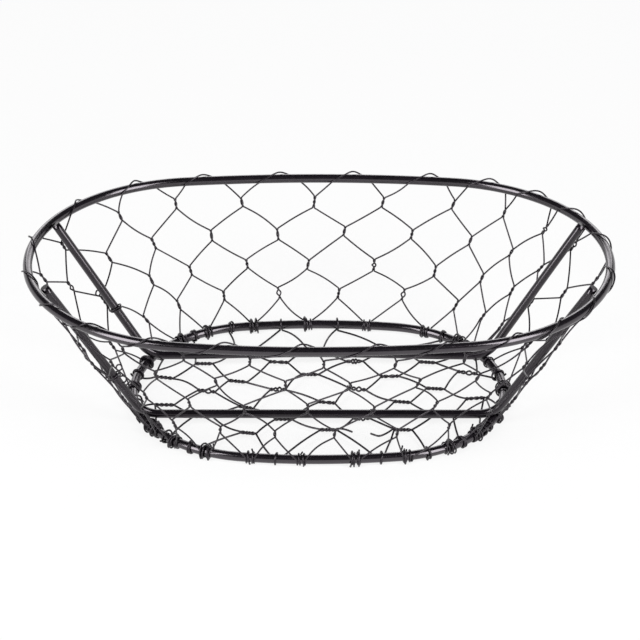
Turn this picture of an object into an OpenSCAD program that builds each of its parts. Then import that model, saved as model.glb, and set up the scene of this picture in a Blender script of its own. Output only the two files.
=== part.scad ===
// Oval wire egg basket: a rim ring and a base ring of thick wire, two bent frame wires
// that join them, and hexagonal wire netting for the flared wall and the floor.
// The origin is at the middle of the base, on the surface that the basket stands on.
// X runs along the basket, and the front is towards -Y.

/* [Rim] */
// Length of the rim, between wire centres
rim_length = 250; // [225:1:290]
// Width of the rim, between wire centres
rim_width = 153.5; // [140:0.5:180]
// How far the rim's long sides bow out past its round ends
rim_bow = 3.2; // [1:0.2:6]
// Thickness of the rim wire
rim_wire = 4; // [3:0.1:5]
// Height of the rim above the base ring, between wire centres
rim_rise = 65.8; // [50:0.2:85]

/* [Base] */
// Length of the base ring, between wire centres
base_length = 163.5; // [150:0.5:185]
// Width of the base ring, between wire centres
base_width = 113.5; // [105:0.5:130]
// How far the base ring's long sides bow out past its round ends
base_bow = 1.7; // [1:0.1:4]
// Thickness of the base ring's wire
base_wire = 4; // [3:0.1:5]

/* [Frame wires] */
// Thickness of the two bent frame wires
frame_wire = 3.8; // [3:0.1:5]
// Distance from the middle of the base to each cross run
cross_offset = 24.7; // [20:0.1:30]
// Height of the cross runs above the base ring's centre
cross_lift = 2.6; // [2:0.1:3.4]
// Radius of the bends, along the middle of the wire
bend_radius = 12; // [8:0.5:16]
// Distance from the basket's middle line to each strut, at the rim
strut_offset = 28; // [22:0.5:33]
// How far each strut's cut end stands past the rim's centre
strut_overrun = 2; // [0:0.1:3]

/* [Wall netting] */
// Thickness of the netting wire
mesh_wire = 0.8; // [0.6:0.05:1]
// Columns of mesh along the back, between the struts
back_columns = 9; // [6:1:10]
// Columns of mesh along the front, between the struts
front_columns = 10; // [7:1:11]
// Distance from the rim's centre down to the first row of twists
first_row = 9.2; // [8:0.1:12]
// Distance from one row of twists to the next, down the wall
row_pitch = 14.7; // [12:0.1:16]
// Length of each twist
twist_length = 5.6; // [4:0.1:7]
// Whole turns in each twist
twist_turns = 1; // [1:1:2]
// How far along the rim each loop of wire runs
loop_run = 16; // [6:0.5:17]
// Share by which the middle columns are wider than average, at the rim
rim_spread = 0.1; // [0:0.02:0.2]
// The same at the base
base_spread = 0.34; // [0:0.02:0.36]
// How far the back's middle columns are pulled towards +X at the rim, in columns
rim_back_pull = 0.5; // [0:0.02:0.5]
// The same at the base
base_back_pull = 0.42; // [0:0.02:0.44]
// How far the front's middle columns are pulled towards -X at the rim, in columns
rim_front_pull = -0.2; // [-0.3:0.02:0.3]
// The same at the base
base_front_pull = 0.24; // [0:0.02:0.3]
// How far each winding on the base ring advances in one turn
winding_pitch = 1.1; // [1.05:0.05:1.6]

/* [Floor netting] */
// Number of wires that run along the floor
floor_wires = 8; // [4:2:8]
// Distance from one floor wire to the next
floor_lane = 11.5; // [10:0.5:14]
// Distance between the twists that follow each other along a pair of floor wires
floor_pitch = 34; // [28:0.5:40]
// Bare stretch of each floor wire between its last twist and the base ring
floor_margin = 6; // [5:0.5:12]

/* [Fits] */
// Clearance where one wire touches another
touch = 0.05; // [0.03:0.01:0.15]

/* [Hidden] */
end_columns = 2;
twist_rows = 4;
mesh_sides = 4;
turn_steps = 4;
loop_steps = 3;
winding_steps = 6;
ring_steps = 180;
weld_bead = 0.02;
// Half of the clear distance between the two windings of a pair
pair_gap = 0.3;
// Clear distance from a strut to the windings beside it
strut_gap = 1.2;
// Places counted in columns that lie closer than this are the same place
same_place = 0.1;
// Part of a column, either side of a place, over which the wall's heading is taken
heading_step = 0.05;
// Angle round the base ring at which a floor wire meets it: inside and below
floor_turn_angle = 240;
// Share of the base's end radius out to which the floor's reach along X is worked out
floor_share = 0.9;
// Search for the frame wires' seats: halvings, stretch, points tried and share of a strut tried
seat_tries = 14;
seat_stretch = 24;
seat_points = 40;
seat_share = 0.1;
black = [0.1, 0.095, 0.105];
mesh_black = [0.15, 0.14, 0.15];
$fn = 48;

columns = 2 * end_columns + back_columns + front_columns;
end_half = end_columns / 2;
// The left end of the basket, counted in columns from the right end
left_column = end_columns + back_columns;

// Wires turned round another wire are bent into flat steps, whose middles just clear it
loop_radius = (rim_wire / 2 + mesh_wire / 2 + touch) / cos(90 / loop_steps);
winding_radius = (base_wire / 2 + mesh_wire / 2 + touch) / cos(180 / winding_steps);
twist_radius = (mesh_wire / 2 + touch / 2) / cos(180 / turn_steps);

// The basket stands on the windings that pass under the base ring
base_z = winding_radius * cos(180 / winding_steps) + mesh_wire / 2;
rim_z = base_z + rim_rise;
cross_z = base_z + cross_lift;
floor_z = cross_z - frame_wire / 2 - twist_radius - mesh_wire / 2 - touch;

// An oval of four arcs that run smoothly into each other, as its end radius, end centre,
// side radius, heading of the joints, half of an end's length, a side's length and half width
function oval(length, width, bow) =
    let (
        r = width / 2 - bow,
        k = length / 2 - r,
        side_r = (width / 2 + r) / 2 + k * k / (2 * bow),
        joint = atan2(side_r - width / 2, k)
    )
    [r, k, side_r, joint, arc_length(r, joint), arc_length(side_r, 180 - 2 * joint), width / 2];

function arc_length(r, angle) = r * angle * PI / 180;
function arc_angle(r, s) = s / r * 180 / PI;
function around(o) = 4 * o[4] + 2 * o[5];

// X, Y and outward heading on the back half of an oval, at distance s from its right end
function half_oval_at(o, s) =
    s < o[4] ? let (h = arc_angle(o[0], s)) [o[1] + o[0] * cos(h), o[0] * sin(h), h] :
    s < o[4] + o[5] ?
        let (h = o[3] + arc_angle(o[2], s - o[4])) [o[2] * cos(h), o[6] - o[2] + o[2] * sin(h), h] :
    let (h = 180 - o[3] + arc_angle(o[0], s - o[4] - o[5]))
    [o[0] * cos(h) - o[1], o[0] * sin(h), h];

// The same, anywhere on the oval
function oval_at(o, s) =
    let (p = around(o), w = s - p * floor(s / p), q = half_oval_at(o, w % (p / 2)))
    w < p / 2 ? q : [-q[0], -q[1], q[2] + 180];

rim = oval(rim_length, rim_width, rim_bow);
base = oval(base_length, base_width, base_bow);

// Where the struts stand, as distances round each ring from its right end
rim_seat = (rim_wire + frame_wire) / 2 + touch;
base_seat = (base_wire + frame_wire) / 2 + touch;
rim_strut_arc = arc_length(rim[0], asin(strut_offset / (rim[0] - rim_seat)));
base_strut_arc = arc_length(base[0], asin(cross_offset / (base[0] - base_seat)));

// Whole laps before a place counted in columns of mesh from the right end, and the rest
function laps(c) = floor((c + end_half) / columns);
function in_lap(c) = c - columns * laps(c);

// Distance round an oval of a place counted in columns. The pulls, one for the back and one
// for the front, move the middle columns of each long side back towards where it starts.
function column_arc(o, strut_arc, spread, pulls, c) =
    let (
        half = around(o) / 2,
        side = half - 2 * strut_arc,
        lap = laps(c),
        w = in_lap(c)
    )
    2 * half * lap + (
        w < end_half ? w / end_half * strut_arc :
        w < end_half + back_columns ?
            strut_arc + side * spaced(w - end_half, back_columns, spread, pulls[0]) :
        w < left_column + end_half ? half + (w - left_column) / end_half * strut_arc :
        half + strut_arc
            + side * spaced(w - left_column - end_half, front_columns, spread, pulls[1])
    );
function spaced(w, count, spread, pull) =
    let (f = w / count) f - spread * sin(360 * f) / (2 * PI) - pull / count * sin(180 * f);

function rim_arc(c) = column_arc(rim, rim_strut_arc, rim_spread, [rim_back_pull, rim_front_pull], c);
function base_arc(c) =
    column_arc(base, base_strut_arc, base_spread, [base_back_pull, base_front_pull], c);
function on_rim(s) = let (q = oval_at(rim, s)) [q[0], q[1], rim_z];
function on_base(s) = let (q = oval_at(base, s)) [q[0], q[1], base_z];

function unit(v) = v / norm(v);
function heading(h) = [cos(h), sin(h), 0];
function mix(a, b, t) = a * (1 - t) + b * t;

// A place on the wall: columns round it, and depth from 0 at the rim's centre to 1 at the
// outside of the base ring
function foot(s) = on_base(s) + winding_radius * heading(oval_at(base, s)[2]);
function wall_at(c, depth) = mix(on_rim(rim_arc(c)), foot(base_arc(c)), depth);
function wall_down(c) = unit(wall_at(c, 1) - wall_at(c, 0));
function wall_side(c, depth) =
    unit(wall_at(c + heading_step, depth) - wall_at(c - heading_step, depth));
wall_slope_length = norm([(rim_width - base_width) / 2 - winding_radius, rim_rise]);
function row_depth(row) = (first_row + row * row_pitch) / wall_slope_length;

// The directions from a wire's middle to its edges, where one lies across the bends
function edges(across, along) =
    let (a = unit(cross(across, along)), b = cross(along, a))
    [for (j = [0:mesh_sides - 1])
        let (turn = 360 * j / mesh_sides) cos(turn) * a + sin(turn) * b];
// The one of them that lies nearest to a direction
function nearest_edge(edges, to) =
    let (close = [for (e = edges) e * to]) edges[search(max(close), close)[0]];

// Round wire along a path whose entries are a point and a direction that lies across the bends
module wire_along(path) {
    last = len(path) - 1;
    run = [for (i = [1:last]) unit(path[i][0] - path[i - 1][0])];
    along = [for (i = [0:last]) unit(run[max(i - 1, 0)] + run[min(i, last - 1)])];
    // First edge at each entry: each follows from the one before, so that the wire isn't wrung
    first = [
        for (
            i = 0, e = cross(path[0][1], along[0]);
            i <= last;
            i = i + 1, e = i > last ? e : nearest_edge(edges(path[i][1], along[i]), e)
        )
        unit(e)
    ];
    points = [
        for (i = [0:last])
            for (j = [0:mesh_sides - 1])
                let (turn = 360 * j / mesh_sides, b = cross(along[i], first[i]))
                path[i][0] + mesh_wire / 2 * (cos(turn) * first[i] + sin(turn) * b)
    ];
    sides = [
        for (i = [0:last - 1])
            for (j = [0:mesh_sides - 1])
                let (k = (j + 1) % mesh_sides, low = i * mesh_sides, high = low + mesh_sides)
                each [[low + j, high + j, high + k], [low + j, high + k, low + k]]
    ];
    end = last * mesh_sides;
    caps = [for (j = [1:mesh_sides - 2]) each [[0, j, j + 1], [end, end + j + 1, end + j]]];
    polyhedron(points, concat(sides, caps), convexity = 10);
}

// One strand of a twist about a centre: it starts and ends on the side that it comes from
function twist(centre, down, side, out) =
    let (last = turn_steps * twist_turns - 1)
    [
        for (i = [0:last])
            let (turn = 360 / turn_steps * (i + 0.5), z = twist_length * (i / last - 0.5))
            [centre + z * down + twist_radius * (cos(turn) * side + sin(turn) * out), side]
    ];

// Strand of a wall twist, coming from the side of the higher columns (1) or the lower (-1)
function wall_twist(c, row, from) =
    let (
        depth = row_depth(row),
        down = wall_down(c),
        side = wall_side(c, depth),
        out = cross(down, side)
    )
    twist(wall_at(c, depth), down, from * side, from * out);

// Distance of a winding from the middle of its pair: wider apart where a strut stands
function is_strut(c) =
    min([for (end = [0, left_column]) abs(abs(in_lap(c) - end) - end_half)]) < same_place;
function winding_room(c) = mesh_wire / 2 + (is_strut(c) ? frame_wire / 2 + strut_gap : pair_gap);

// One turn round the base ring from a distance s on it, clockwise (-1) or the other way (1)
function winding(s, advance, first_angle, way) = [
    for (i = [0:winding_steps])
        let (
            at = s + advance * i / winding_steps,
            q = oval_at(base, at),
            angle = first_angle + way * 360 * i / winding_steps
        )
        [
            on_base(at) + winding_radius * (cos(angle) * heading(q[2]) + [0, 0, sin(angle)]),
            heading(q[2] + 90)
        ]
];

// End of a wall wire: down the outside of the base ring, under it, up the inside and over,
// going on towards the middle of its pair
function wall_end(c, from) =
    winding(base_arc(c) + from * (winding_room(c) + winding_pitch), -from * winding_pitch, 0, -1);

// Loop of a wall wire over the rim, from the outside to the inside
function rim_loop(c) = [
    for (i = [0:loop_steps])
        let (
            s = rim_arc(c) + loop_run * (i / loop_steps - 0.5),
            side = heading(oval_at(rim, s)[2] + 90),
            up = -wall_down(c),
            out = unit(cross(side, up)),
            turn = 180 * i / loop_steps
        )
        [on_rim(s) + loop_radius * (cos(turn) * out + sin(turn) * up), side]
];

function reversed(list) = [for (i = [len(list) - 1:-1:0]) list[i]];

// One leg of a wall wire from the rim down. Odd rows twist it with the next wire's leg, and
// even rows with the other leg of its own wire.
function leg(c, from) = concat(
    [
        for (row = [0:twist_rows - 1])
            let (own = row % 2 == 1)
            each wall_twist(own ? c : c + from / 2, row, own ? from : -from)
    ],
    wall_end(c + from / 2, -from)
);

module wall_wire(i) {
    c = end_half + i - 0.5;
    color(mesh_black) wire_along(concat(reversed(leg(c, -1)), rim_loop(c), leg(c, 1)));
}

// Half length of the space inside the base ring at a distance y from its middle line
function inner_reach(y) = base[1] + sqrt(pow(base[0] - base_wire / 2, 2) - y * y);

// Middle of the bare stretch between the windings on either side of a place on the base ring
function gap_arc(c) =
    let (low = floor(c - end_half) + end_half, high = low + 1)
    (base_arc(low) + winding_room(low) + base_arc(high) - winding_room(high)) / 2;

// Turn of a floor wire round the base ring: under it, up its outside and back over it
function floor_turn(c, from) =
    winding(gap_arc(c) - from * winding_pitch / 2, from * winding_pitch, floor_turn_angle, 1);

// The same at a wire's end, going on the way that the wire comes from a point on the floor
function floor_end(c, point) =
    let (s = gap_arc(c), come = (on_base(s) - point) * heading(oval_at(base, s)[2] + 90))
    floor_turn(c, come > 0 ? 1 : -1);

// Gap between windings, as a place in columns, whose middle lies nearest to x on one long side
function nearest_gap(x, side) =
    let (
        first = side > 0 ? end_half : left_column + end_half,
        count = side > 0 ? back_columns : front_columns,
        off = [for (i = [0:count - 1]) abs(on_base(gap_arc(first + i + 0.5))[0] - x)]
    )
    first + search(min(off), off)[0] + 0.5;

// A floor wire is twisted with its neighbours in turn, and the outer two go round the ring instead
module floor_wire(i) {
    lane = i - (floor_wires + 1) / 2;
    most = ceil(base_length / floor_pitch);
    middle = [
        for (q = [-most:most])
            let (
                up = (q + i) % 2 != 0 ? 1 : -1,
                x = q * floor_pitch / 2,
                y = (lane + up / 2) * floor_lane,
                paired = abs(lane + up / 2) < floor_wires / 2,
                room = inner_reach(min(abs(y), base[0] * floor_share)) - abs(x)
            )
            if (room > floor_margin + twist_length / 2)
                each (
                    paired ? twist([x, y, floor_z], [1, 0, 0], [0, -up, 0], [0, 0, -up]) :
                    floor_turn(nearest_gap(x, up), -up)
                )
    ];
    left = floor_end(left_column - lane, middle[0][0]);
    right = floor_end(lane, middle[len(middle) - 1][0]);
    color(mesh_black) wire_along(concat(reversed(left), middle, right));
}

// Length of round wire bent about the Z axis from one heading to another
module bent_wire(radius, from, to, wire) {
    rotate([0, 0, from])
        rotate_extrude(angle = to - from, $fn = ring_steps)
            translate([radius, 0]) circle(d = wire);
}

// The same with a slight bead that closes the joint at each of its ends
module joined_wire(radius, from, to, wire) {
    bent_wire(radius, from, to, wire);
    for (h = [from, to])
        translate(radius * heading(h)) rotate([90, 0, h]) sphere(d = wire + 2 * weld_bead);
}

// Ring of round wire bent along an oval
module ring_wire(o, wire) {
    for (end = [0, 180])
        rotate([0, 0, end]) {
            translate([o[1], 0, 0]) joined_wire(o[0], -o[3], o[3], wire);
            translate([0, o[6] - o[2], 0]) bent_wire(o[2], o[3], 180 - o[3], wire);
        }
}

module rim_ring() {
    color(black) translate([0, 0, rim_z]) ring_wire(rim, rim_wire);
}

module base_ring() {
    color(black) translate([0, 0, base_z]) ring_wire(base, base_wire);
}

// Each frame wire is a run across the base with a strut at each end, all in one leaning plane
frame_height = norm([strut_offset - cross_offset, rim_z - cross_z]);
frame_lean = atan2(strut_offset - cross_offset, rim_z - cross_z);

// Point of a frame wire, from its place in that plane
function on_frame(x, up) = [x, cross_offset + up * sin(frame_lean), cross_z + up * cos(frame_lean)];
// Distance from a point to the centre line of an oval's round end
function from_end(p, o, z) = norm([norm([p[0] - o[1], p[1]]) - o[0], p[2] - z]);

// Where the bend at a corner starts
function bend_from(corner, slope) = corner - bend_radius * tan(slope / 2);

// Closest that a strut from one corner comes to the rim, where it reaches the rim's height at x
function rim_clearance(corner, x) =
    min([for (i = [0:seat_points])
        let (t = 1 + seat_share * (2 * i / seat_points - 1))
        from_end(on_frame(mix(corner, x, t), frame_height * t), rim, rim_z)]);
// Closest that the bend at a corner comes to the base ring
function base_clearance(corner, slope) =
    min([for (i = [0:seat_points])
        let (a = slope * i / seat_points, x = bend_from(corner, slope) + bend_radius * sin(a))
        from_end(on_frame(x, bend_radius * (1 - cos(a))), base, base_z)]);
// Each seat is found by halving the stretch that holds it
function rim_x(corner, low, high, tries) =
    let (x = (low + high) / 2)
    tries == 0 ? x :
    rim_clearance(corner, x) < rim_seat ? rim_x(corner, low, x, tries - 1) :
    rim_x(corner, x, high, tries - 1);
function strut_slope(corner, x) = atan2(frame_height, x - corner);
function strut_x(corner) =
    rim_x(corner, rim_length / 2 - seat_stretch, rim_length / 2, seat_tries);
function corner_x(low, high, tries) =
    let (x = (low + high) / 2)
    tries == 0 ? x :
    base_clearance(x, strut_slope(x, strut_x(x))) < base_seat ? corner_x(low, x, tries - 1) :
    corner_x(x, high, tries - 1);

module frame_wire_along() {
    corner = corner_x(base_length / 2 - seat_stretch, base_length / 2, seat_tries);
    top = strut_x(corner);
    slope = strut_slope(corner, top);
    bend_start = bend_from(corner, slope);
    strut = norm([top - corner, frame_height]) + strut_overrun - bend_radius * tan(slope / 2);
    rotate([0, 90, 0]) cylinder(d = frame_wire, h = 2 * bend_start, center = true);
    for (end = [0, 1])
        mirror([end, 0, 0]) translate([bend_start, 0, bend_radius]) {
            rotate([90, 0, 0]) joined_wire(bend_radius, -90, slope - 90, frame_wire);
            rotate([0, -slope, 0])
                translate([0, 0, -bend_radius])
                    rotate([0, 90, 0]) cylinder(d = frame_wire, h = strut);
        }
}

module front_frame() {
    color(black)
        mirror([0, 1, 0]) translate([0, cross_offset, cross_z])
            rotate([-frame_lean, 0, 0]) frame_wire_along();
}

module rear_frame() {
    color(black)
        translate([0, cross_offset, cross_z]) rotate([-frame_lean, 0, 0]) frame_wire_along();
}

rim_ring();
base_ring();
front_frame();
rear_frame();
for (i = [1:columns])
    wall_wire(i);
for (i = [1:floor_wires])
    floor_wire(i);
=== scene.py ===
"""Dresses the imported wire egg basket: enamelled wires, twisted netting, windings and cut ends."""

import math

import bpy
import numpy as np
from mathutils import Matrix, Vector


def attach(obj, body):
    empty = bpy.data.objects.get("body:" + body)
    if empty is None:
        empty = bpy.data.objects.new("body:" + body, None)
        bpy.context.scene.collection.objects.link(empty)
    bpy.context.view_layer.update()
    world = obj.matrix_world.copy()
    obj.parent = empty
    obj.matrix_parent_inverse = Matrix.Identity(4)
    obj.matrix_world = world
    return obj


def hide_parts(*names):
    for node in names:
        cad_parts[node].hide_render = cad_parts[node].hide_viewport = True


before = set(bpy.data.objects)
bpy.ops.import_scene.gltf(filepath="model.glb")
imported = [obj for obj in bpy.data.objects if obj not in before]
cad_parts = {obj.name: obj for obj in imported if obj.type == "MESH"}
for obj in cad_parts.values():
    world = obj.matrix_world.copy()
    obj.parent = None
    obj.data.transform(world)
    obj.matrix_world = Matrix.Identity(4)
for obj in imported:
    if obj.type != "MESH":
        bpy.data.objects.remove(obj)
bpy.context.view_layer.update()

MM = 0.001
rng = np.random.default_rng(11)

# ---------------------------------------------------------------- sizes, in millimetres
RIM_WIRE = 4.0
BASE_WIRE = 4.0
FRAME_WIRE = 3.8
NET_WIRE = 0.8
# The netting wire looks a little thinner on the wall and thicker on the floor
WALL_GAUGE = 0.74
FLOOR_GAUGE = 0.88
TOUCH = 0.05

# The ovals between wire centres, and how far the rim's long sides hang at their middles
RIM_LENGTH = 250.0
RIM_WIDTH = 153.5
RIM_BOW = 3.2
RIM_DIP = 0.6
RIM_RISE = 65.8
BASE_LENGTH = 163.5
BASE_WIDTH = 113.5
BASE_BOW = 1.7
BASE_Z = 2.85
RIM_Z = BASE_Z + RIM_RISE
CROSS_Z = BASE_Z + 2.6
CROSS_OFFSET = 24.7
STRUT_OFFSET = 28.0
STRUT_OVERRUN = 2.0
BEND_RADIUS = 12.0
# The middle of the rear run is bent this far back and up
REAR_BOW = (1.3, 0.35)
STRAIGHT = (0.0, 0.0)

# The wall's netting, in columns from strut to strut and in rows of twists down the wall
BACK_COLUMNS = 9
FRONT_COLUMNS = 10
END_HALF = 1
LEFT_COLUMN = 2 * END_HALF + BACK_COLUMNS
COLUMNS = 4 * END_HALF + BACK_COLUMNS + FRONT_COLUMNS
RIM_SPREAD = 0.1
RIM_PULLS = (0.5, -0.2)
BASE_SPREAD = 0.34
BASE_PULLS = (0.42, 0.24)
FIRST_ROW = 9.2
ROW_PITCH = 14.7
ROWS = 4

FLOOR_WIRES = 8
FLOOR_LANE = 11.5
FLOOR_PITCH = 34.0
# A twist needs this much room inside the base ring, and the rows lie a little askew
FLOOR_MARGIN = 8.8
FLOOR_SKEW = 0.03

# Length, whole turns and radius of a twist: its wires touch, and the floor's are longer
WALL_TWIST = (5.0, 1, WALL_GAUGE / 2)
FLOOR_TWIST = (7.6, 2, FLOOR_GAUGE / 2)
TWIST_UNEVEN = 0.09
TURN_STEPS = 16
WRAP_GAP = 0.02
WINDING_RADIUS = BASE_WIRE / 2 + NET_WIRE / 2 + WRAP_GAP
WINDING_STEPS = 16
LOOP_RADIUS = RIM_WIRE / 2 + NET_WIRE / 2 + WRAP_GAP
LOOP_RUN = 16.0
LOOP_STEPS = 16
FOOT_ROOM = 0.4
FLOOR_Z = 2.45

# How far the floor's rows of twists, from the front to the back, have slipped to the right
FLOOR_SLIPS = (3.5, 2.0, 3.0, 0.0, -2.5, -1.0, 0.0)

# How far a twist turns from its row, as a tangent, on the wall and on the floor
WALL_TILT = 0.1
FLOOR_TILT = 0.2

# How far a stretch between twists is bowed, as a share of its length
WALL_BOW = 0.03
FLOOR_BOW = 0.05

# Scatter of the twists: in depth and columns on the wall, and in millimetres out of it
DEPTH_SCATTER = 0.009
COLUMN_SCATTER = 0.03
OUT_SCATTER = 0.3

# Scatter of the floor's twists along and across their rows, in millimetres
ALONG_SCATTER = 1.3
ACROSS_SCATTER = 1.1

# Radius added by an eyelet in the middle of a twist, and the share of twists that have one
WALL_EYELET = (0.55, 0.1)
FLOOR_EYELET = (0.6, 0.2)
TWIST_LENGTHS = (0.88, 1.16)


def unit(v):
    """The direction of a vector, with length 1."""
    v = np.asarray(v, float)
    return v / np.linalg.norm(v)


def mix(a, b, t):
    """The place at share t of the way from a to b."""
    return np.asarray(a, float) * (1 - t) + np.asarray(b, float) * t


UP = np.array([0, 0, 1.0])


# ---------------------------------------------------------------- rings
class Oval:
    """Four arcs that run smoothly into each other, measured round from the right end.

    Its long sides may hang lower than its ends, by dip at their middles."""

    def __init__(self, length, width, bow, height, dip=0.0):
        self.dip = dip
        self.r = width / 2 - bow
        self.k = length / 2 - self.r
        self.side_r = (width / 2 + self.r) / 2 + self.k**2 / (2 * bow)
        self.half_width = width / 2
        self.joint = math.atan2(self.side_r - width / 2, self.k)
        self.end = self.r * self.joint
        self.side = self.side_r * (math.pi - 2 * self.joint)
        self.round = 4 * self.end + 2 * self.side
        self.z = height

    def at(self, s):
        """X, Y and outward heading at distance s."""
        half = self.round / 2
        lap, w = divmod(s, half)
        if w < self.end:
            h = w / self.r
            x, y = self.k + self.r * math.cos(h), self.r * math.sin(h)
        elif w < self.end + self.side:
            h = self.joint + (w - self.end) / self.side_r
            x = self.side_r * math.cos(h)
            y = self.half_width - self.side_r + self.side_r * math.sin(h)
        else:
            h = math.pi - self.joint + (w - self.end - self.side) / self.r
            x, y = self.r * math.cos(h) - self.k, self.r * math.sin(h)
        if int(lap) % 2:
            return -x, -y, h + math.pi
        return x, y, h

    def point(self, s):
        x, y, _ = self.at(s)
        return np.array([x, y, self.z - self.dip * (1 - (x / (self.k + self.r)) ** 2)])

    def outward(self, s):
        h = self.at(s)[2]
        return np.array([math.cos(h), math.sin(h), 0.0])

    def along(self, s):
        h = self.at(s)[2]
        return np.array([-math.sin(h), math.cos(h), 0.0])

    def around(self, s, radius, angle):
        """A place beside the wire: angle 0 is outwards and a quarter turn is up."""
        return self.point(s) + radius * (
            math.cos(angle) * self.outward(s) + math.sin(angle) * UP
        )


RIM = Oval(RIM_LENGTH, RIM_WIDTH, RIM_BOW, RIM_Z, RIM_DIP)
BASE = Oval(BASE_LENGTH, BASE_WIDTH, BASE_BOW, BASE_Z)


def strut_arc(oval, offset, thick):
    """Distance round an oval of the place where a frame wire meets it."""
    return oval.r * math.asin(offset / (oval.r - (thick + FRAME_WIRE) / 2 - TOUCH))


RIM_STRUT = strut_arc(RIM, STRUT_OFFSET, RIM_WIRE)
BASE_STRUT = strut_arc(BASE, CROSS_OFFSET, BASE_WIRE)


def spaced(w, count, spread, pull):
    """Share of a long side at a number of columns from its strut."""
    f = w / count
    return f - spread * math.sin(2 * math.pi * f) / (2 * math.pi) - pull / count * math.sin(
        math.pi * f
    )


def column_arc(oval, strut, spread, pulls, c):
    """Distance round an oval of a place counted in columns of mesh from the right end."""
    half = oval.round / 2
    side = half - 2 * strut
    lap = math.floor((c + END_HALF) / COLUMNS)
    w = c - COLUMNS * lap
    if w < END_HALF:
        s = w / END_HALF * strut
    elif w < END_HALF + BACK_COLUMNS:
        s = strut + side * spaced(w - END_HALF, BACK_COLUMNS, spread, pulls[0])
    elif w < LEFT_COLUMN + END_HALF:
        s = half + (w - LEFT_COLUMN) / END_HALF * strut
    else:
        w -= LEFT_COLUMN + END_HALF
        s = half + strut + side * spaced(w, FRONT_COLUMNS, spread, pulls[1])
    return oval.round * lap + s


def rim_arc(c):
    """Distance round the rim of a place in columns."""
    return column_arc(RIM, RIM_STRUT, RIM_SPREAD, RIM_PULLS, c)


def base_arc(c):
    """Distance round the base ring of a place in columns."""
    return column_arc(BASE, BASE_STRUT, BASE_SPREAD, BASE_PULLS, c)


def foot(s):
    """Where the wall ends, just outside the windings round the base ring."""
    return BASE.around(s, WINDING_RADIUS + FOOT_ROOM, 0)


def wall_at(c, depth):
    """A place on the wall, in columns round it and in depth from the rim (0) to its foot (1)."""
    return mix(RIM.point(rim_arc(c)), foot(base_arc(c)), depth)


def wall_frame(c, depth):
    """Directions down the wall, along it towards higher columns, and out of it."""
    down = unit(wall_at(c, 1) - wall_at(c, 0))
    near = 0.05
    side = unit(wall_at(c + near, depth) - wall_at(c - near, depth))
    side = unit(side - down * side.dot(down))
    return down, side, np.cross(down, side)


SLOPE_LENGTH = np.linalg.norm(wall_at(LEFT_COLUMN / 2, 1) - wall_at(LEFT_COLUMN / 2, 0))


def row_depth(row):
    """Depth on the wall of the middle of a row of twists."""
    return (FIRST_ROW + row * ROW_PITCH) / SLOPE_LENGTH


# The netting sags at the back and is drawn up at the front, by row, in millimetres, and less
# so towards the ends of the basket
BACK_SAG = (1.2, 1.5, 1.7, 0.8)
FRONT_SAG = (-1.9, -3.6, -3.6, -2.8)
SAG_SPREAD = 1.3

# Where the back's netting is bunched: by how many columns, round which place and how widely.
# The second grows with the depth
SIDE_BUNCH = (0.22, 9.2, 0.8)
DEEP_BUNCH = (0.42, 3.3, 1.3)

# The front's netting is pulled sideways by this many columns, fully from this depth down
FRONT_PULL = 0.18
FRONT_PULL_DEPTH = 0.8


def bump(w, middle, width):
    """A smooth rise to 1 at the middle."""
    return math.exp(-(((w - middle) / width) ** 2))


def settled(c, depth):
    """Where netting that belongs at a place really lies, in columns: it bunches near the struts."""
    w = (c + END_HALF) % COLUMNS - END_HALF
    if END_HALF < w < END_HALF + BACK_COLUMNS:
        aside = SIDE_BUNCH[0] * bump(w, *SIDE_BUNCH[1:])
        deep = DEEP_BUNCH[0] * depth**2 * bump(w, *DEEP_BUNCH[1:])
        return c - aside - deep
    if w > LEFT_COLUMN + END_HALF:
        side = math.sin(math.pi * (w - LEFT_COLUMN - END_HALF) / FRONT_COLUMNS)
        return c - FRONT_PULL * side * math.sin(math.pi * min(depth, FRONT_PULL_DEPTH)) ** 0.5
    return c


def sag(c, row):
    """Depth by which a twist lies below its row."""
    share = wall_at(c, 0)[1] / RIM.half_width
    most = (BACK_SAG if share > 0 else FRONT_SAG)[row]
    return most * min(1, SAG_SPREAD * abs(share)) / SLOPE_LENGTH


# ---------------------------------------------------------------- frame wires
FRAME_UP = unit([0, STRUT_OFFSET - CROSS_OFFSET, RIM_Z - CROSS_Z])
FRAME_HEIGHT = math.hypot(STRUT_OFFSET - CROSS_OFFSET, RIM_Z - CROSS_Z)
BEND_POINTS = 12
HALVINGS = 14
# Where the search looks for a strut's top and a bend's corner, and for the rim along a strut
STRUT_TOP_RANGE = (101.0, 125.0)
CORNER_RANGE = (BASE_LENGTH / 2 - 24, BASE_LENGTH / 2)
RIM_SEARCH = np.arange(0.9, 1.1, 0.005)


def on_frame(x, up):
    """A place in the leaning plane of the rear frame wire."""
    return np.array([x, CROSS_OFFSET, CROSS_Z]) + up * FRAME_UP


def from_end(p, oval):
    """Distance from a place to the middle line of an oval's right end."""
    return math.hypot(math.hypot(p[0] - oval.k, p[1]) - oval.r, p[2] - oval.z)


def strut_x(corner):
    """Where a strut from a corner reaches the rim's height, resting against the rim."""
    low, high = STRUT_TOP_RANGE
    for _ in range(HALVINGS):
        x = (low + high) / 2
        near = min(
            from_end(on_frame(corner + (x - corner) * t, FRAME_HEIGHT * t), RIM)
            for t in RIM_SEARCH
        )
        if near < (RIM_WIRE + FRAME_WIRE) / 2 + TOUCH:
            high = x
        else:
            low = x
    return (low + high) / 2


def bend(corner, slope):
    """Points of the bend at a corner, from the run to the strut."""
    start = corner - BEND_RADIUS * math.tan(slope / 2)
    return [
        on_frame(start + BEND_RADIUS * math.sin(a), BEND_RADIUS * (1 - math.cos(a)))
        for a in np.linspace(0, slope, BEND_POINTS)
    ]


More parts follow.
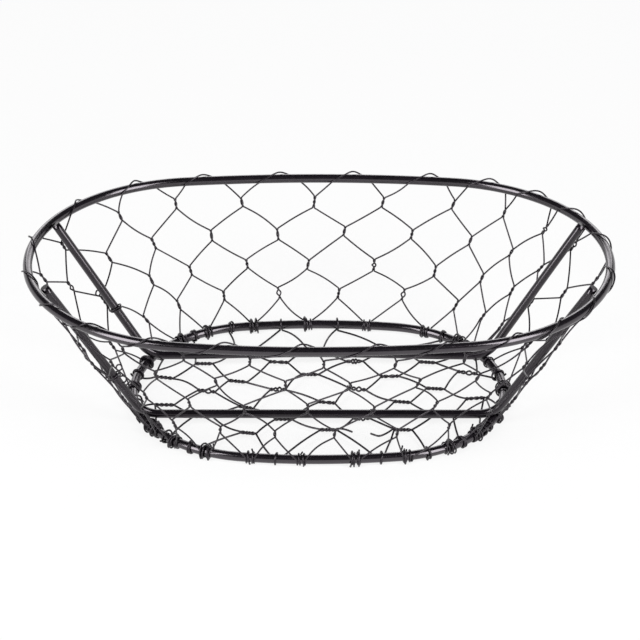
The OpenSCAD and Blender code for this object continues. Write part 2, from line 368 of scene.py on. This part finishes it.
def frame_corner():
    """Where the run and the strut would meet, with the bend resting against the base ring."""
    low, high = CORNER_RANGE
    for _ in range(HALVINGS):
        x = (low + high) / 2
        slope = math.atan2(FRAME_HEIGHT, strut_x(x) - x)
        near = min(from_end(p, BASE) for p in bend(x, slope))
        if near < (BASE_WIRE + FRAME_WIRE) / 2 + TOUCH:
            high = x
        else:
            low = x
    return (low + high) / 2


CORNER = frame_corner()
STRUT_TOP = strut_x(CORNER)
STRUT_SLOPE = math.atan2(FRAME_HEIGHT, STRUT_TOP - CORNER)


def strut_point(share, side, front):
    """A place on a strut's middle line, from its bend (0) to its top (1)."""
    low = bend(CORNER, STRUT_SLOPE)[-1]
    p = mix(low, on_frame(STRUT_TOP, FRAME_HEIGHT), share)
    return p * [side, -1 if front else 1, 1]


# ---------------------------------------------------------------- twists
class Twist:
    """Two strands wound round each other about a line. Strand +1 starts and ends on +side.

    shape is the twist's length, its number of whole turns and its radius."""

    def __init__(self, centre, down, side, shape, loose, most_tilt):
        self.centre = centre
        tilt = rng.normal(0, most_tilt)
        self.down = unit(down + tilt * side)
        self.side = unit(side - self.down * side.dot(self.down))
        self.out = np.cross(self.down, self.side)
        self.length = shape[0] * rng.uniform(*TWIST_LENGTHS)
        self.turns = shape[1]
        self.radius = shape[2]
        self.uneven = TWIST_UNEVEN * math.cos(centre[0] + centre[1])
        self.loose = loose

    def strand(self, which):
        """Points of one strand, with an eyelet in the middle of a loose twist."""
        steps = self.turns * TURN_STEPS
        points = []
        for i in range(steps + 1):
            t = i / steps
            turn = 2 * math.pi * self.turns * (t + self.uneven * math.sin(2 * math.pi * t))
            r = self.radius
            if 0.25 < t < 0.75:
                r += self.loose * max(0.0, math.sin(math.pi * (t * 2 - 0.5)))
            points.append(
                self.centre
                + self.length * (t - 0.5) * self.down
                + which * r * (math.cos(turn) * self.side + math.sin(turn) * self.out)
            )
        return points


wall_twists = {}


def wall_twist(c, row):
    """The twist at a place in columns (whole or half) and a row, made once for both its wires."""
    key = (round(2 * c) % (2 * COLUMNS), row)
    if key not in wall_twists:
        depth = row_depth(row) + sag(c, row) + rng.normal(0, DEPTH_SCATTER)
        place = settled(c, depth) + rng.normal(0, COLUMN_SCATTER)
        down, side, out = wall_frame(place, depth)
        centre = wall_at(place, depth) + rng.normal(0, OUT_SCATTER) * out
        loose = WALL_EYELET[0] if rng.random() < WALL_EYELET[1] else 0.0
        wall_twists[key] = Twist(centre, down, side, WALL_TWIST, loose, WALL_TILT)
    return wall_twists[key]


# Where a bowed stretch has its points: the outer two at a share of it or a distance, if that is
# less, from its ends
BOW_SHARES = (0.3, 0.5, 0.7)
BOW_END_SHARE = 0.12
BOW_END_LENGTH = 0.9


def bowed(a, b, amount):
    """Points between two ends of a slightly bowed stretch of wire."""
    run = b - a
    length = np.linalg.norm(run)
    across = unit(np.cross(run, UP) if abs(unit(run)[2]) < 0.9 else np.cross(run, [1, 0, 0]))
    lift = unit(np.cross(across, run))
    bow = amount * length * (rng.normal(0, 0.5) * across + rng.normal(0, 1.0) * lift)
    ends = min(BOW_END_SHARE, BOW_END_LENGTH / length)
    shares = (ends, *BOW_SHARES, 1 - ends)
    return [a + run * t + bow * 4 * t * (1 - t) for t in shares]


# Stretches that the photo shows bent, by wire, leg and the row above them. A curl has its place
# on the stretch, its radius and whether it faces the front or lies in the wall, a bow how far
# it bulges, and a wrap its place on the strut, the strut's side and whether that is in front
CURLS = {
    (10, 1, 3): (0.45, 1.3, True),
    (13, 1, 1): (0.4, 1.5, True),
    (12, 1, 0): (0.2, 1.2, False),
    (10, -1, 1): (0.88, 1.3, False),
}
LONG_BOWS = {(12, -1, 1): 1.2, (12, 1, 1): 1.8}
STRUT_WRAPS = {(9, 1, 2): (0.31, -1, False), (11, 1, 2): (0.24, -1, True)}
TO_FRONT = unit([0, -1, 0.5])
CURL_POINTS = 15
LONG_BOW_SHARES = np.linspace(0.1, 0.9, 7)
WRAP_POINTS = 40
# A wrap meets the strut this far round from the direction in which it comes and goes, and its
# turns stand off the strut unevenly
WRAP_LEAD = 0.9
WRAP_SLACK = 0.25
WRAP_WOBBLE = 2.3


def curl(a, b, share, radius, to_front):
    """A stretch with a small eyelet."""
    run = unit(b - a)
    p = mix(a, b, share)
    out = TO_FRONT if to_front else unit(p * [1, 1, 0])
    out = unit(out - run * out.dot(run))
    aside = np.cross(run, out)
    points = [mix(a, p, 0.2), mix(a, p, 0.6)]
    for turn in np.linspace(0, 2 * math.pi, CURL_POINTS):
        rise = (NET_WIRE + TOUCH) * (turn / (2 * math.pi) - 0.5)
        points.append(
            p + radius * (math.sin(turn) * run + (1 - math.cos(turn)) * aside) + rise * out
        )
    return points + [mix(p, b, 0.4), mix(p, b, 0.85)]


def long_bow(a, b, amount):
    """A stretch that bulges out of the wall."""
    out = unit((a + b) * [1, 1, 0])
    return [mix(a, b, t) + amount * math.sin(math.pi * t) * out for t in LONG_BOW_SHARES]


def strut_wrap(a, b, share, side, front):
    """A stretch that is wound once more than it needs round a strut on its way down."""
    middle = strut_point(share, side, front)
    axis = unit(strut_point(1, side, front) - strut_point(0, side, front))
    east = unit(middle * [1, 1, 0])
    east = unit(east - axis * east.dot(axis))
    north = np.cross(axis, east)
    starts, ends = (
        math.atan2((p - middle).dot(north), (p - middle).dot(east)) for p in (a, b)
    )
    total = (ends - starts) % (2 * math.pi) + 2 * math.pi - 2 * WRAP_LEAD
    radius = (FRAME_WIRE + NET_WIRE) / 2 + TOUCH
    points = []
    for t in np.linspace(0, 1, WRAP_POINTS):
        turn = starts + WRAP_LEAD + total * t
        slack = WRAP_SLACK * (1 + math.sin(WRAP_WOBBLE * turn))
        points.append(
            middle
            + (radius + slack) * (math.cos(turn) * east + math.sin(turn) * north)
            - axis * WINDING_PITCH * total / (2 * math.pi) * (t - 0.5)
        )
    return bowed(a, points[0], WALL_BOW) + points + bowed(points[-1], b, WALL_BOW)


def between(a, b, place):
    """A stretch of wall wire, bent in its own way where the photo shows one."""
    if place in CURLS:
        return curl(a, b, *CURLS[place])
    if place in LONG_BOWS:
        return long_bow(a, b, LONG_BOWS[place])
    if place in STRUT_WRAPS:
        return strut_wrap(a, b, *STRUT_WRAPS[place])
    return bowed(a, b, WALL_BOW)


# ---------------------------------------------------------------- windings and loops
# Room along the ring for a strut, and for the end of the neighbouring wire
STRUT_ROOM = (FRAME_WIRE + NET_WIRE) / 2 + 1.2
PAIR_ROOM = NET_WIRE / 2 + 0.1
WINDING_PITCH = 0.9
# From this many turns on, a winding comes back over itself, this steeply and this far
LONG_WINDING = 2.5
OVER_STEEPNESS = 6
OVER_WAY = (1.05, 1.1)
# How a winding's turns wander off the ring and along it, and how its stub stands up
RADIUS_WOBBLE = 1.3
ALONG_WOBBLE = 1.7
ALONG_WANDER = 0.35
WOBBLE_STARTS = (0, 6.28)
LEAST_SLACK = 0.05
STUB_RISES = (0.1, 0.7)
WALL_END_TURNS = [1.2, 1.7, 2.7, 3.2]
WALL_END_ANGLE = math.radians(25)
WALL_STUBS = (0.5, 1.5)
FLOOR_END_TURNS = [1.3, 1.8]
FLOOR_END_ANGLE = math.radians(240)
FLOOR_STUBS = (0.8, 1.6)
WALL_SLACK = 0.28
FLOOR_SLACK = 0.9

# The loops over the rim: scatter along it, how far they stand off it, and their angles round it
LOOP_SCATTER = 1.0
LOOP_LIFTS = (0.3, 1.3)
LOOP_START = -14
LOOP_SWEEP = 208


def is_strut(c):
    """Whether a column stands at a strut."""
    w = (c + END_HALF) % COLUMNS - END_HALF
    return min(abs(abs(w - end) - END_HALF) for end in (0, LEFT_COLUMN)) < 0.1


def winding(s, way, first, turns, hand, stub, most_slack):
    """Turns of netting wire round the base ring, ending in a snipped stub.

    way is the direction along the ring, hand the direction round it, and first the angle
    where the wire meets the ring. Each turn is bent by hand, so some stand off the ring, and
    a long winding comes back over its own turns."""
    steps = int(WINDING_STEPS * turns)
    points = []
    wobble = rng.uniform(*WOBBLE_STARTS)
    slack = rng.uniform(LEAST_SLACK, most_slack)
    back_over = turns > LONG_WINDING
    for i in range(steps + 1):
        t = i / steps
        angle = first + hand * 2 * math.pi * turns * t
        radius = WINDING_RADIUS + slack * (1 + math.sin(RADIUS_WOBBLE * angle + wobble)) * t
        along = WINDING_PITCH * turns * t
        if back_over and t > 0.5:
            radius += NET_WIRE * min(1, (t - 0.5) * OVER_STEEPNESS)
            along = WINDING_PITCH * turns * (OVER_WAY[0] - OVER_WAY[1] * t)
        wander = ALONG_WANDER * t * math.sin(ALONG_WOBBLE * angle + wobble)
        points.append(BASE.around(s + way * (along + wander), radius, angle))
    if stub > 0:
        leave = unit(points[-1] - points[-2])
        outward = unit(points[-1] - BASE.point(s))
        tip = points[-1] + stub * unit(leave + rng.uniform(*STUB_RISES) * outward)
        points.append(mix(points[-1], tip, 0.4) + 0.05 * outward)
        points.append(tip)
    return points


def wall_end(c, way):
    """End of a wall wire: down the outside of the base ring and round it, towards its pair."""
    turns = rng.choice(WALL_END_TURNS)
    width = WINDING_PITCH * (turns / 2 if turns > LONG_WINDING else turns)
    start = (STRUT_ROOM if is_strut(c) else PAIR_ROOM) + width
    s = base_arc(settled(c, 1)) + way * start
    return winding(s, -way, WALL_END_ANGLE, turns, -1, rng.uniform(*WALL_STUBS), WALL_SLACK)


def rim_loop(c):
    """Loop over the rim, from its outside at the lower columns to its inside at the higher."""
    s0 = rim_arc(settled(c, 0)) + rng.normal(0, LOOP_SCATTER)
    lift = rng.uniform(*LOOP_LIFTS)
    points = []
    for i in range(LOOP_STEPS + 1):
        t = i / LOOP_STEPS
        s = s0 + LOOP_RUN * (t - 0.5)
        down = unit(wall_at(c, 1) - wall_at(c, 0))
        side = RIM.along(s)
        out = unit(np.cross(side, -down))
        turn = math.radians(LOOP_START + LOOP_SWEEP * t)
        radius = LOOP_RADIUS + lift * math.sin(math.pi * t) ** 4
        points.append(RIM.point(s) + radius * (math.cos(turn) * out - math.sin(turn) * down))
    return points


def leg(i, c, way):
    """One leg of a wall wire, from the rim down to the end of its winding."""
    points = []
    for row in range(ROWS):
        own = row % 2 == 1
        twist = wall_twist(c if own else c + way / 2, row)
        strand = twist.strand(way if own else -way)
        if points:
            points += between(points[-1], strand[0], (i, way, row - 1))
        points += strand
    end = wall_end(c + way / 2, -way)
    points += between(points[-1], end[0], (i, way, ROWS - 1))
    return points + end


def wall_path(i):
    """A whole wall wire: up one leg, over the rim and down the other."""
    c = END_HALF + i - 0.5
    low, high, loop = leg(i, c, -1), leg(i, c, 1), rim_loop(c)
    return (
        low[::-1]
        + bowed(low[0], loop[0], WALL_BOW)
        + loop
        + bowed(loop[-1], high[0], WALL_BOW)
        + high
    )


# ---------------------------------------------------------------- floor netting
def inner_reach(y):
    """Half the length of the space inside the base ring at a distance from its middle line."""
    return BASE.k + math.sqrt((BASE.r - BASE_WIRE / 2) ** 2 - y * y)


def gap_arc(c):
    """Distance round the base ring of the gap between two columns' windings."""
    low = math.floor(c - END_HALF) + END_HALF
    high = low + 1
    starts = [STRUT_ROOM if is_strut(x) else PAIR_ROOM for x in (low, high)]
    places = [base_arc(settled(x, 1)) for x in (low, high)]
    return (places[0] + starts[0] + places[1] - starts[1]) / 2


def floor_turn(c, way, turns, stub):
    """Turns of a floor wire round the base ring, from below."""
    start = gap_arc(c) - way * WINDING_PITCH * turns / 2
    return winding(start, way, FLOOR_END_ANGLE, turns, 1, stub, FLOOR_SLACK)


def floor_end(c, point):
    """End of a floor wire, wound on in the direction in which it comes from a point."""
    s = gap_arc(c)
    way = 1 if (BASE.point(s) - point).dot(BASE.along(s)) > 0 else -1
    return floor_turn(c, way, rng.choice(FLOOR_END_TURNS), rng.uniform(*FLOOR_STUBS))


def nearest_gap(x, side):
    """The gap between windings that is nearest to a place, at the back (1) or front (-1)."""
    first = END_HALF if side > 0 else LEFT_COLUMN + END_HALF
    count = BACK_COLUMNS if side > 0 else FRONT_COLUMNS
    gaps = [first + i + 0.5 for i in range(count)]
    return min(gaps, key=lambda c: abs(BASE.point(gap_arc(c))[0] - x))


floor_twists = {}


def floor_twist(q, lane_pair):
    """The twist at a place along the floor and between two lanes, made once for both wires."""
    key = (q, lane_pair)
    if key not in floor_twists:
        slip = FLOOR_SLIPS[round(lane_pair + FLOOR_WIRES / 2 - 1)]
        x = q * FLOOR_PITCH / 2 + slip + rng.normal(0, ALONG_SCATTER)
        y = lane_pair * FLOOR_LANE + FLOOR_SKEW * x + rng.normal(0, ACROSS_SCATTER)
        centre = np.array([x, y, FLOOR_Z])
        loose = FLOOR_EYELET[0] if rng.random() < FLOOR_EYELET[1] else 0.0
        along, across = np.array([1.0, 0, 0]), np.array([0, 1.0, 0])
        floor_twists[key] = Twist(centre, along, across, FLOOR_TWIST, loose, FLOOR_TILT)
    return floor_twists[key]


def join(points, more):
    """Adds points to a path, after a bowed stretch that leads to them."""
    if points:
        points += bowed(points[-1], more[0], FLOOR_BOW)
    points += more


def floor_path(i):
    """A whole floor wire, which zigzags between its neighbours or the base ring."""
    lane = i - (FLOOR_WIRES + 1) / 2
    most = math.ceil(BASE_LENGTH / FLOOR_PITCH)
    points = []
    for q in range(-most, most + 1):
        up = 1 if (q + i) % 2 else -1
        x = q * FLOOR_PITCH / 2
        pair = lane + up / 2
        paired = abs(pair) < FLOOR_WIRES / 2 - 0.1
        if inner_reach(pair * FLOOR_LANE) - abs(x) <= FLOOR_MARGIN:
            continue
        if paired:
            join(points, floor_twist(q, pair).strand(-up))
        else:
            join(points, floor_turn(nearest_gap(x, up), -up, 1, 0))
    left = floor_end(LEFT_COLUMN - lane, points[0])[::-1]
    join(left, points)
    join(left, floor_end(lane, left[-1]))
    return left


# ---------------------------------------------------------------- wire meshes
THICK_SIDES = 32
NET_SIDES = 8
LEAST_STEP = 0.12
RING_STEPS = 420
RUN_POINTS = 24
STRUT_POINTS = 22
SNIPPED_ROUNDS = 3


def softened(points, rounds=1):
    """Cuts the corners of a path, keeping its ends."""
    p = np.asarray(points, float)
    for _ in range(rounds):
        a, b = p[:-1], p[1:]
        cut = np.empty((2 * len(a), 3))
        cut[0::2] = a * 0.75 + b * 0.25
        cut[1::2] = a * 0.25 + b * 0.75
        p = np.vstack([p[:1], cut, p[-1:]])
    return p


def thinned(p, least):
    """Leaves out points closer than a least distance to the one before."""
    keep = [0]
    for i in range(1, len(p) - 1):
        if np.linalg.norm(p[i] - p[keep[-1]]) > least:
            keep.append(i)
    keep.append(len(p) - 1)
    return p[keep]


def tube(name, path, diameter, sides, closed=False):
    """A round wire along a path in millimetres, as a smooth mesh in metres.

    Its rings of points follow the path without turning about it."""
    p = np.asarray(path, float) * MM
    n = len(p)
    if closed:
        t = np.roll(p, -1, 0) - np.roll(p, 1, 0)
    else:
        t = np.gradient(p, axis=0)
    t /= np.linalg.norm(t, axis=1)[:, None]
    start = np.cross(t[0], UP)
    if np.linalg.norm(start) < 0.2:
        start = np.cross(t[0], [1.0, 0, 0])
    normal = unit(start)
    verts = np.empty((n, sides, 3))
    turn = 2 * np.pi * np.arange(sides) / sides
    for i in range(n):
        normal = unit(normal - t[i] * normal.dot(t[i]))
        other = np.cross(t[i], normal)
        verts[i] = p[i] + diameter * MM / 2 * (
            np.cos(turn)[:, None] * normal + np.sin(turn)[:, None] * other
        )
    verts = verts.reshape(-1, 3)
    faces = []
    for i in range(n if closed else n - 1):
        a, b = i * sides, (i + 1) % n * sides
        for j in range(sides):
            k = (j + 1) % sides
            faces.append((a + j, a + k, b + k, b + j))
    if not closed:
        faces.append(tuple(range(sides))[::-1])
        faces.append(tuple(range((n - 1) * sides, n * sides)))
    mesh = bpy.data.meshes.new(name)
    mesh.from_pydata(verts.tolist(), [], faces)
    mesh.validate()
    mesh.polygons.foreach_set("use_smooth", [len(f) == 4 for f in faces])
    piece = bpy.data.objects.new(name, mesh)
    bpy.context.scene.collection.objects.link(piece)
    return piece


# ---------------------------------------------------------------- materials
def node_material(name):
    """A new material, its nodes and links, and its shader."""
    material = bpy.data.materials.new(name)
    material.use_nodes = True
    nodes, links = material.node_tree.nodes, material.node_tree.links
    return material, nodes, links, nodes["Principled BSDF"]


def noise(nodes, links, coords, scale, detail, roughness=0.5):
    """A noise texture's value."""
    n = nodes.new("ShaderNodeTexNoise")
    n.inputs["Scale"].default_value = scale
    n.inputs["Detail"].default_value = detail
    n.inputs["Roughness"].default_value = roughness
    links.new(coords, n.inputs["Vector"])
    return n.outputs["Fac"]


def ramp(nodes, links, value, stops):
    """A colour that follows a value through stops of position and colour."""
    r = nodes.new("ShaderNodeValToRGB")
    r.color_ramp.elements[0].position, r.color_ramp.elements[0].color = stops[0]
    r.color_ramp.elements[1].position, r.color_ramp.elements[1].color = stops[-1]
    for position, color in stops[1:-1]:
        r.color_ramp.elements.new(position).color = color
    links.new(value, r.inputs["Fac"])
    return r.outputs["Color"]


def spread(nodes, links, value, low, high):
    """Stretches the middle of a noise to a range of values."""
    m = nodes.new("ShaderNodeMapRange")
    m.inputs["From Min"].default_value = 0.3
    m.inputs["From Max"].default_value = 0.7
    m.inputs["To Min"].default_value = low
    m.inputs["To Max"].default_value = high
    links.new(value, m.inputs["Value"])
    return m.outputs["Result"]


# The coat on the thick wires is blacker and smoother than that on the netting. Colours are dark
# and light, and the grain is the scale of the pits, which are bump_height deep in metres
RUNS_SCALE = 90
RUNS_DETAIL = 4
RUNS_STOPS = (0.34, 0.68)
PITS_DETAIL = 6
PITS_ROUGHNESS = 0.62
PITS_SHARE = 0.6
BUMP_STRENGTH = 0.5
COAT_IOR = 1.5
COAT_TINT = (1.0, 0.93, 1.0, 1)
THICK_COAT = dict(
    dark=(0.0015, 0.0010, 0.0018, 1),
    light=(0.006, 0.0042, 0.0068, 1),
    rough=(0.12, 0.24),
    bump_height=0.00003,
    grain=900,
)
NET_COAT = dict(
    dark=(0.003, 0.0022, 0.0034, 1),
    light=(0.014, 0.011, 0.015, 1),
    rough=(0.20, 0.38),
    bump_height=0.00002,
    grain=2400,
)
RING_GLOSS = 1.0
FRAME_GLOSS = 0.65
NET_GLOSS = 0.5


def enamel(name, gloss, dark, light, rough, bump_height, grain):
    """Glossy black coating over drawn wire: uneven gloss, runs in the coat and fine pits."""
    material, nodes, links, shader = node_material(name)
    coords = nodes.new("ShaderNodeTexCoord").outputs["Object"]
    broad = noise(nodes, links, coords, RUNS_SCALE, RUNS_DETAIL)
    fine = noise(nodes, links, coords, grain, PITS_DETAIL, PITS_ROUGHNESS)
    stops = list(zip(RUNS_STOPS, (dark, light)))
    links.new(ramp(nodes, links, broad, stops), shader.inputs["Base Color"])
    links.new(spread(nodes, links, fine, *rough), shader.inputs["Roughness"])
    shader.inputs["IOR"].default_value = COAT_IOR
    shader.inputs["Specular IOR Level"].default_value = gloss
    shader.inputs["Specular Tint"].default_value = COAT_TINT
    height = nodes.new("ShaderNodeMath")
    height.operation = "MULTIPLY_ADD"
    height.inputs[1].default_value = PITS_SHARE
    links.new(fine, height.inputs[0])
    links.new(broad, height.inputs[2])
    bump = nodes.new("ShaderNodeBump")
    bump.inputs["Strength"].default_value = BUMP_STRENGTH
    bump.inputs["Distance"].default_value = bump_height
    links.new(height.outputs[0], bump.inputs["Height"])
    links.new(bump.outputs["Normal"], shader.inputs["Normal"])
    return material


ring_black = enamel("ring_wire_enamel", RING_GLOSS, **THICK_COAT)
frame_black = enamel("frame_wire_enamel", FRAME_GLOSS, **THICK_COAT)
net_black = enamel("netting_wire_enamel", NET_GLOSS, **NET_COAT)


def finish_piece(piece, material, *nodes):
    """Coats a piece, sets it on the basket and hides the CAD nodes that it dresses."""
    piece.data.materials.append(material)
    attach(piece, "root")
    if nodes:
        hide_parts(*nodes)


# ---------------------------------------------------------------- thick wires
# A ring's waves out of true, sideways and up: how many round it, how high and where they start
RING_WAVE = {"rim_ring": 0.12, "base_ring": 0.08}
OUT_WAVES = ((3, 0.5, 0.7), (7, 0.35, 2.1))
LIFT_WAVES = ((5, 0.5, 1.3),)


def waves(f, parts):
    """Height of a sum of waves at an angle."""
    return sum(share * math.sin(count * f + start) for count, share, start in parts)


def ring(oval, name, thick):
    """A ring of thick wire, bent by hand a little out of true."""
    wave = RING_WAVE[name]
    path = []
    for i in range(RING_STEPS):
        s = oval.round * i / RING_STEPS
        f = 2 * math.pi * i / RING_STEPS
        out, lift = wave * waves(f, OUT_WAVES), wave * waves(f, LIFT_WAVES)
        path.append(oval.point(s) + out * oval.outward(s) + lift * UP)
    piece = tube(name + "_enamelled", path, thick, THICK_SIDES, True)
    finish_piece(piece, ring_black, name)


ring(RIM, "rim_ring", RIM_WIRE)
ring(BASE, "base_ring", BASE_WIRE)


def frame_wire(name, front, bow):
    """Run across the base with a bend and a strut at each end, all in one leaning plane.

    bow is how far the middle of the run is bent out of that plane and up."""
    run = CORNER - BEND_RADIUS * math.tan(STRUT_SLOPE / 2)
    half = []
    for x in np.linspace(0, run, RUN_POINTS):
        share = math.cos(math.pi / 2 * x / run) ** 2
        half.append(on_frame(x, 0) + share * np.array([0, bow[0], bow[1]]))
    half += bend(CORNER, STRUT_SLOPE)[1:]
    foot_point, top = half[-1], on_frame(STRUT_TOP, FRAME_HEIGHT)
    way = unit(top - foot_point)
    length = np.linalg.norm(top - foot_point) + STRUT_OVERRUN
    half += [foot_point + way * length * t for t in np.linspace(0, 1, STRUT_POINTS)[1:]]
    path = [p * [-1, 1, 1] for p in half[:0:-1]] + half
    if front:
        path = [p * [1, -1, 1] for p in path]
    piece = tube(name + "_enamelled", path, FRAME_WIRE, THICK_SIDES, False)
    finish_piece(piece, frame_black, name)


frame_wire("rear_frame", False, REAR_BOW)
frame_wire("front_frame", True, STRAIGHT)


# ---------------------------------------------------------------- netting
def net_wire(name, points, gauge):
    """A wire of the netting, kept above the surface that the basket stands on."""
    path = thinned(softened(points), LEAST_STEP)
    path[:, 2] = np.maximum(path[:, 2], gauge / 2)
    finish_piece(tube(name + "_twisted", path, gauge, NET_SIDES), net_black, name)


for i in range(1, COLUMNS + 1):
    net_wire(f"wall_wire_{i}", wall_path(i), WALL_GAUGE)
for i in range(1, FLOOR_WIRES + 1):
    net_wire(f"floor_wire_{i}", floor_path(i), FLOOR_GAUGE)

# The photo shows one mesh of the floor cut open: a piece for each snipped end that is left, with
# the twist that holds it, the twist's end and the places that it passes, in millimetres from there
SNIPPED_ROOT = 0.35
SNIPPED = {
    "snipped_end_1": ((0, -3.0), 1, ((3.2, -0.7), (6.4, -2.9))),
    "snipped_end_2": ((2, -3.0), -1, ((-2.6, -3.6), (-6.2, -6.6), (-8.0, -5.9), (-10.2, -4.4))),
}


def snipped_end(name, held_by, way, places):
    """A short wire that comes out of a twist and ends in the open mesh."""
    twist = floor_twists[held_by]
    root = twist.centre + way * SNIPPED_ROOT * twist.length * twist.down
    tip = twist.centre + way * 0.5 * twist.length * twist.down + NET_WIRE * UP
    points = [root, tip] + [tip + np.array([x, y, 0.0]) for x, y in places]
    finish_piece(tube(name, softened(points, SNIPPED_ROUNDS), FLOOR_GAUGE, NET_SIDES), net_black)


for name, (held_by, way, places) in SNIPPED.items():
    snipped_end(name, held_by, way, places)


# ---------------------------------------------------------------- floor and light
SOFT_COLOUR = (0.93, 0.94, 1.0, 1)
SOFT_STRENGTH = 0.08
# The room is white up to the first height and dark from the second, as seen in reflections, so
# that the tops of the wires stay black
CEILING = [(0.12, (1, 1, 1, 1)), (0.35, (0.07, 0.07, 0.075, 1))]
HALF_FLOOR = 3.0
PAPER_COLOUR = (0.98, 0.98, 0.98, 1)
# Share of the floor that glows white for the camera; the rest shows the basket's shadow
PAPER_GLOW = 0.84


def see_white(nodes, links, soft, white):
    """Camera, glossy and transmission rays see the white shader, and others the soft one."""
    path = nodes.new("ShaderNodeLightPath")
    sees = path.outputs["Is Camera Ray"]
    for ray in ("Is Glossy Ray", "Is Transmission Ray"):
        either = nodes.new("ShaderNodeMath")
        either.operation = "MAXIMUM"
        links.new(sees, either.inputs[0])
        links.new(path.outputs[ray], either.inputs[1])
        sees = either.outputs[0]
    blend = nodes.new("ShaderNodeMixShader")
    links.new(sees, blend.inputs["Fac"])
    links.new(soft, blend.inputs[1])
    links.new(white, blend.inputs[2])
    return blend.outputs["Shader"]


def white_room():
    """A soft dim light all round, and a white room for the eye and for reflections."""
    world = bpy.data.worlds.new("soft_studio")
    bpy.context.scene.world = world
    world.use_nodes = True
    nodes, links = world.node_tree.nodes, world.node_tree.links
    soft = nodes["Background"]
    soft.inputs["Color"].default_value = SOFT_COLOUR
    soft.inputs["Strength"].default_value = SOFT_STRENGTH
    white = nodes.new("ShaderNodeBackground")
    way = nodes.new("ShaderNodeSeparateXYZ")
    links.new(nodes.new("ShaderNodeTexCoord").outputs["Generated"], way.inputs[0])
    links.new(ramp(nodes, links, way.outputs["Z"], CEILING), white.inputs["Color"])
    white.inputs["Strength"].default_value = 1.0
    links.new(
        see_white(nodes, links, soft.outputs[0], white.outputs[0]),
        nodes["World Output"].inputs["Surface"],
    )


def studio_floor():
    """A sheet of white paper that keeps the basket's shadow."""
    mesh = bpy.data.meshes.new("studio_floor")
    corners = [(x, y, 0) for x, y in ((-1, -1), (1, -1), (1, 1), (-1, 1))]
    mesh.from_pydata(corners, [], [(0, 1, 2, 3)])
    floor = bpy.data.objects.new("studio_floor", mesh)
    floor.scale = (HALF_FLOOR, HALF_FLOOR, 1)
    bpy.context.scene.collection.objects.link(floor)
    material, nodes, links, shader = node_material("studio_floor")
    shader.inputs["Base Color"].default_value = PAPER_COLOUR
    shader.inputs["Roughness"].default_value = 0.9
    shader.inputs["Specular IOR Level"].default_value = 0.0
    glow = nodes.new("ShaderNodeEmission")
    glow.inputs["Color"].default_value = (1, 1, 1, 1)
    glow.inputs["Strength"].default_value = 1.0
    paper = nodes.new("ShaderNodeMixShader")
    paper.inputs["Fac"].default_value = PAPER_GLOW
    links.new(shader.outputs[0], paper.inputs[1])
    links.new(glow.outputs[0], paper.inputs[2])
    links.new(
        see_white(nodes, links, shader.outputs[0], paper.outputs[0]),
        nodes["Material Output"].inputs["Surface"],
    )
    floor.data.materials.append(material)


white_room()
studio_floor()

# Place and size in metres and power in watts: two tall softboxes at the front corners, whose
# highlights the photo shows on the rim, and a bright backdrop behind
LAMP_AIM = Vector((0, 0, 0.03))
SOFTBOXES = {
    "key_left": ((-1.07, -0.87, 0.84), (0.72, 1.4), 24),
    "key_right": ((1.07, -0.87, 0.84), (0.72, 1.4), 24),
    "back": ((0.0, 1.6, 0.66), (1.6, 0.6), 9),
}


def softbox(name, place, size, power):
    """An area lamp that faces the basket."""
    lamp = bpy.data.lights.new(name, "AREA")
    lamp.shape = "RECTANGLE"
    lamp.size, lamp.size_y = size
    lamp.energy = power
    box = bpy.data.objects.new(name, lamp)
    box.location = place
    aim = LAMP_AIM - Vector(place)
    box.rotation_euler = aim.to_track_quat("-Z", "Y").to_euler()
    bpy.context.scene.collection.objects.link(box)


for name, (place, size, power) in SOFTBOXES.items():
    softbox(name, place, size, power)

# ---------------------------------------------------------------- camera
# Fitted to the two rings in the photo
SENSOR = 36
LENS = 148.5
CLIP_START = 0.05
ELEVATION = math.radians(30.22)
DISTANCE = 1.150
AIM = Vector((0.00054, 0, 0.03817))
ROLL = math.radians(0.25)
YAW = math.radians(0.36)

camera = bpy.data.cameras.new("camera")
camera.sensor_width = SENSOR
camera.lens = LENS
camera.clip_start = CLIP_START
view = bpy.data.objects.new("camera", camera)
bpy.context.scene.collection.objects.link(view)
right = Vector((1, 0, 0))
up = Vector((0, math.sin(ELEVATION), math.cos(ELEVATION)))
back = Vector((0, -math.cos(ELEVATION), math.sin(ELEVATION)))
rolled_right = right * math.cos(ROLL) + up * math.sin(ROLL)
rolled_up = up * math.cos(ROLL) - right * math.sin(ROLL)
pose = Matrix((rolled_right, rolled_up, back)).transposed().to_4x4()
pose.translation = AIM + back * DISTANCE
view.matrix_world = Matrix.Rotation(-YAW, 4, "Z") @ pose
bpy.context.scene.camera = view

bpy.context.scene.view_settings.view_transform = "Standard"
